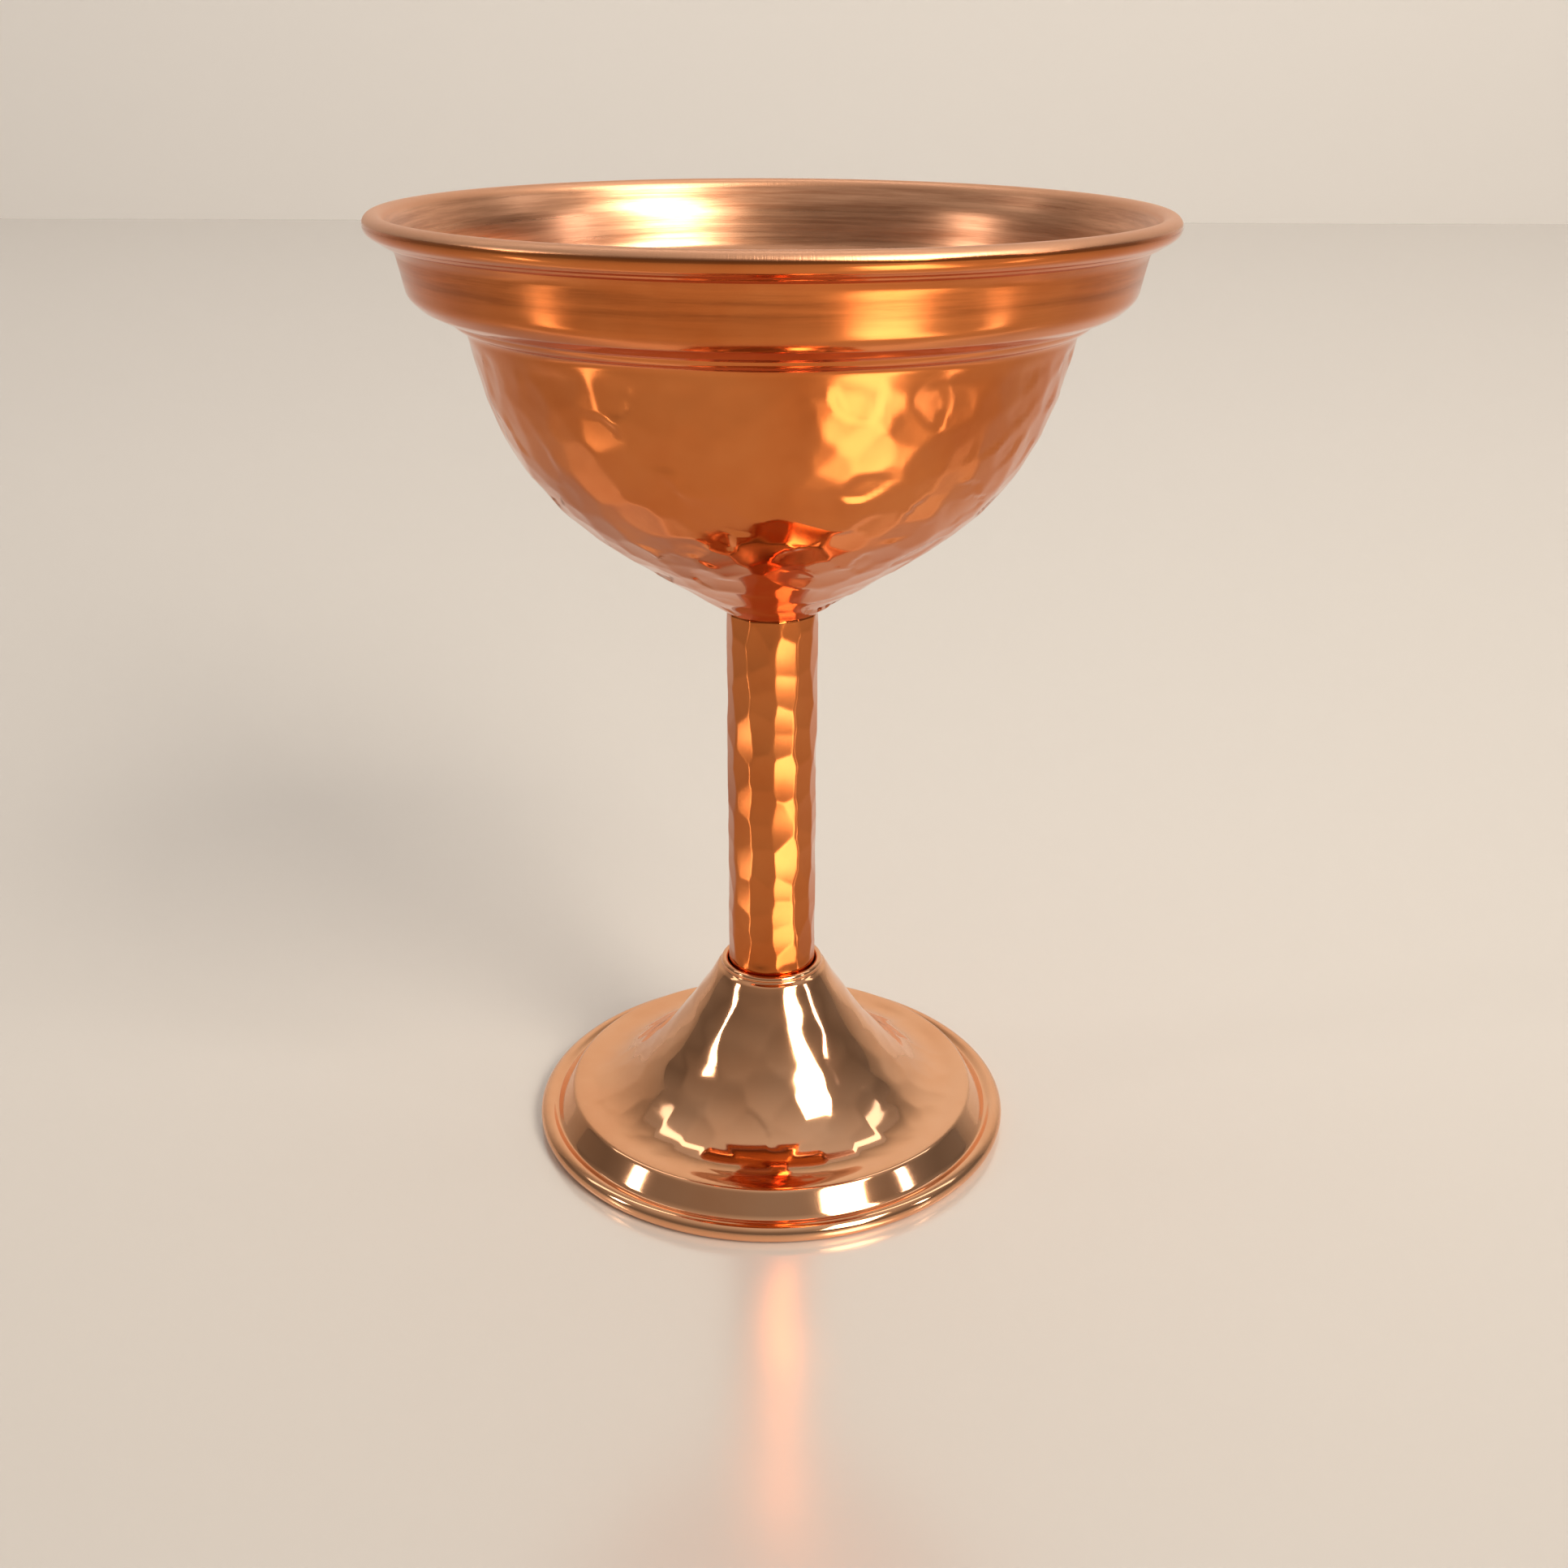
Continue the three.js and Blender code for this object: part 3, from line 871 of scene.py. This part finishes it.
# %% [markdown]
# Worked copper is one metal with several finishes: buffed where it was hammered, lathe-brushed on the
# collar and inside, and rubbed with abrasive across the top of the rolled rim. The points of the mesh carry
# which finish they have, and one recipe reads that. The foot takes a paler copper from the same recipe.

# %% Copper
def copper(name, pale, mid, deep, inner, dark_reflection_streak, polish):
    finish = Finish(name, Metallic=1.0)
    place = finish.place()
    x, y, z = finish.axes(place)
    brushed = finish.painted("brushed")
    rubbed = finish.painted("rubbed")
    inside = finish.painted("inside")
    cloud = finish.noise(place, 42.0, 4.0, 0.55)
    colour = finish.ramp(cloud, (0.32, deep), (0.5, mid), (0.7, pale))
    colour = finish.blend(inside * 0.8 + rubbed * 0.8, colour, inner)
    rings = finish.noise(finish.stretched(place, 10.0, 10.0, 1500.0), 1.0, 4.0, 0.62)
    # Dark streaks painted into the colour of the brushed parts: a painted reflection of a dim room, drawn
    # out along the lathe lines.
    streaks = finish.noise(finish.stretched(place, 26.0, 26.0, 640.0), 1.0, 5.0, 0.7)
    shade = finish.ramp(streaks, (0.4, (0.0, 0.0, 0.0)), (0.62, (1.0, 1.0, 1.0)))
    colour = finish.blend(shade * brushed * 0.5, colour, dark_reflection_streak)
    turn = x.worked("ARCTAN2", y, x)
    across = finish.node("ShaderNodeCombineXYZ", _0=turn * 300.0, _1=z * 160.0, _2=0.0)
    rubs = finish.noise(across, 1.0, 4.0, 0.65)
    wear = finish.noise(place, 160.0, 4.0, 0.6)
    roughness = polish + wear * 0.06 + brushed * (0.02 + rings * 0.16) + inside * 0.1
    roughness = roughness + rubbed * (0.2 + rubs * 0.16)
    height = rings * brushed + rubs * rubbed * 1.3 + wear * 0.1
    bump = finish.node("ShaderNodeBump", Height=height, Strength=0.3, Distance=0.0001)
    return finish.finished(Base_Color=colour, Roughness=roughness, Normal=bump)


# The sixth colour of each copper is the dark of the painted reflection streaks on its brushed parts.
hammered_copper = copper(
    "hammered_copper", (0.68, 0.215, 0.06), (0.64, 0.185, 0.048), (0.58, 0.15, 0.034), (0.84, 0.47, 0.29),
    (0.27, 0.07, 0.018), 0.07,
)
buffed_copper = copper(
    "buffed_copper", (0.90, 0.50, 0.29), (0.88, 0.46, 0.25), (0.84, 0.41, 0.21), (0.74, 0.36, 0.18),
    (0.40, 0.19, 0.09), 0.05,
)


def dressed(piece, material, *nodes, slot):
    """Gives a piece its material and body, and hides the design pieces it stands for. The slot argument is
    not used.
    """
    piece.data.materials.clear()
    piece.data.materials.append(material)
    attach(piece, "root")
    if nodes:
        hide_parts(*nodes)


# %% [markdown]
# The hidden pieces have plainer finishes: drawn wire, brass with the tool lines of the lathe, and steel
# plated with zinc, which is a soft bluish grey with a fine crystal grain.

# %% Wire, brass and zinc
def plain_metal(name, light, dark, roughness, spread, grain, rings=0.0):
    finish = Finish(name, Metallic=1.0)
    place = finish.place()
    spots = finish.noise(place, grain, 4.0, 0.6)
    colour = finish.ramp(spots, (0.35, dark), (0.65, light))
    lines = finish.noise(finish.stretched(place, 40.0, 40.0, 3200.0), 1.0, 2.0, 0.5)
    bump = finish.node("ShaderNodeBump", Height=spots * 0.3 + lines * rings, Strength=0.2, Distance=0.00008)
    return finish.finished(Base_Color=colour, Roughness=roughness + spots * spread, Normal=bump)


copper_wire = plain_metal("drawn_copper_wire", (0.62, 0.24, 0.09), (0.42, 0.15, 0.06), 0.3, 0.2, 600.0)
turned_brass = plain_metal("turned_brass", (0.82, 0.58, 0.22), (0.70, 0.46, 0.16), 0.16, 0.16, 400.0, 1.0)
zinc_steel = plain_metal("zinc_plated_steel", (0.66, 0.69, 0.74), (0.48, 0.50, 0.54), 0.22, 0.22, 900.0)

# %% Every piece gets its material and its place in the assembly
dressed(copper_bowl, hammered_copper, "bowl", slot="hammered_copper")
dressed(copper_stem, hammered_copper, "stem_tube", slot="hammered_copper")
dressed(copper_foot, buffed_copper, "foot", slot="polished_copper")
dressed(rim_wire, copper_wire, "rim_wire", slot="copper_wire")
dressed(foot_wire, copper_wire, "foot_wire", slot="copper_wire")
dressed(boss, turned_brass, "bowl_boss", slot="turned_brass")
dressed(bush, turned_brass, "foot_bush", slot="turned_brass")
dressed(rod, zinc_steel, "tie_rod", slot="zinc_steel")
dressed(flat_washer, zinc_steel, "flat_washer", slot="zinc_steel")
dressed(spring_washer, zinc_steel, "spring_washer", slot="zinc_steel")
dressed(nut, zinc_steel, "hex_nut", slot="zinc_steel")

# %% [markdown]
# ## Floor and light
#
# Polished metal shows nothing but its surroundings, so these matter as much as the finish does. The floor
# is pale and slightly glossy, because the cup sees more of the floor than of anything else, and a soft
# reflection of the lamps in the floor is what draws the bright lines on the stem and under the bowl. A
# sheet of pale paper is stood up behind.

# %% Floor and backdrop
def make_board(name, width, depth, finish):
    """A flat sheet, lying level under the cup."""
    clear_selection()
    bpy.ops.mesh.primitive_plane_add(size=1, location=(0, 0, 0))
    board = bpy.context.object
    board.name = name
    board.scale = (width, depth, 1)
    bpy.ops.object.transform_apply(location=False, rotation=False, scale=True)
    board.data.materials.append(finish.material)
    return board


pale_board = Finish("pale_board", Base_Color=(0.74, 0.71, 0.68, 1), Roughness=0.21, Metallic=0.3, IOR=1.6)
pale_paper = Finish("pale_paper", Base_Color=(0.80, 0.77, 0.74, 1), Roughness=0.9)
floor = make_board("floor", 8, 6, pale_board)
backdrop = make_board("backdrop", 8, 3, pale_paper)
bpy.ops.transform.rotate(value=math.pi / 2, orient_axis="X", center_override=(0, 0, 0))
bpy.ops.transform.translate(value=(0, 1.8, 1.5))
bpy.ops.object.transform_apply(location=True, rotation=True, scale=True)

# %% Lamps
def soft_lamp(name, azimuth, elevation, distance, size, lean, power, colour, aim=(0, -0.08, 0)):
    """A rectangular lamp aimed at the cup. Azimuth 0 is the camera's side, and 90 is to its right."""
    a, e = math.radians(azimuth), math.radians(elevation)
    away = Vector((math.sin(a) * math.cos(e), -math.cos(a) * math.cos(e), math.sin(e)))
    bpy.ops.object.light_add(type="AREA", location=Vector(aim) + away * distance)
    lamp = bpy.context.object
    lamp.name = name
    lamp.data.shape = "RECTANGLE"
    lamp.data.size, lamp.data.size_y = size
    lamp.data.energy = power
    lamp.data.color = colour
    turn = away.to_track_quat("Z", "Y").to_matrix() @ Matrix.Rotation(math.radians(lean), 3, "Z")
    lamp.rotation_euler = turn.to_euler()


soft_lamp("key", 42.5, 38, 2.2, (0.75, 1.45), -29, 52, (1.0, 0.9, 0.76))
soft_lamp("left_window", -77, 24, 2.0, (0.22, 0.4), 0, 3, (1.0, 0.94, 0.88))
soft_lamp("right_window", 76, 24, 2.0, (0.16, 0.4), 0, 2.2, (1.0, 0.92, 0.88))
soft_lamp("backdrop_light", 0, 46, 1.9, (4.0, 0.5), 0, 11, (1.0, 0.98, 0.96), aim=(0, 1.8, 0.1))

# %% [markdown]
# The room itself is dim at the sides and lighter overhead, as a studio with a lit ceiling is. It keeps the
# floor evenly pale, while the foot and the inside of the bowl keep some dark to set off the bright lines.

# %% The room
def make_room():
    room = bpy.data.worlds.new("studio")
    room.use_nodes = True
    nodes, links = room.node_tree.nodes, room.node_tree.links
    place = nodes.new("ShaderNodeTexCoord")
    split = nodes.new("ShaderNodeSeparateXYZ")
    rise = nodes.new("ShaderNodeValToRGB")
    links.new(place.outputs["Generated"], split.inputs[0])
    links.new(split.outputs["Z"], rise.inputs[0])
    links.new(rise.outputs["Color"], nodes["Background"].inputs["Color"])
    stops = (
        (0.0, (0.24, 0.22, 0.20)), (0.3, (0.15, 0.135, 0.12)),
        (0.65, (0.30, 0.27, 0.24)), (1.0, (0.62, 0.59, 0.56)),
    )
    while len(rise.color_ramp.elements) < len(stops):
        rise.color_ramp.elements.new(0.5)
    for element, (position, colour) in zip(rise.color_ramp.elements, stops):
        element.position, element.color = position, (*colour, 1)
    return room


bpy.context.scene.world = make_room()
bpy.context.scene.view_settings.view_transform = "Standard"
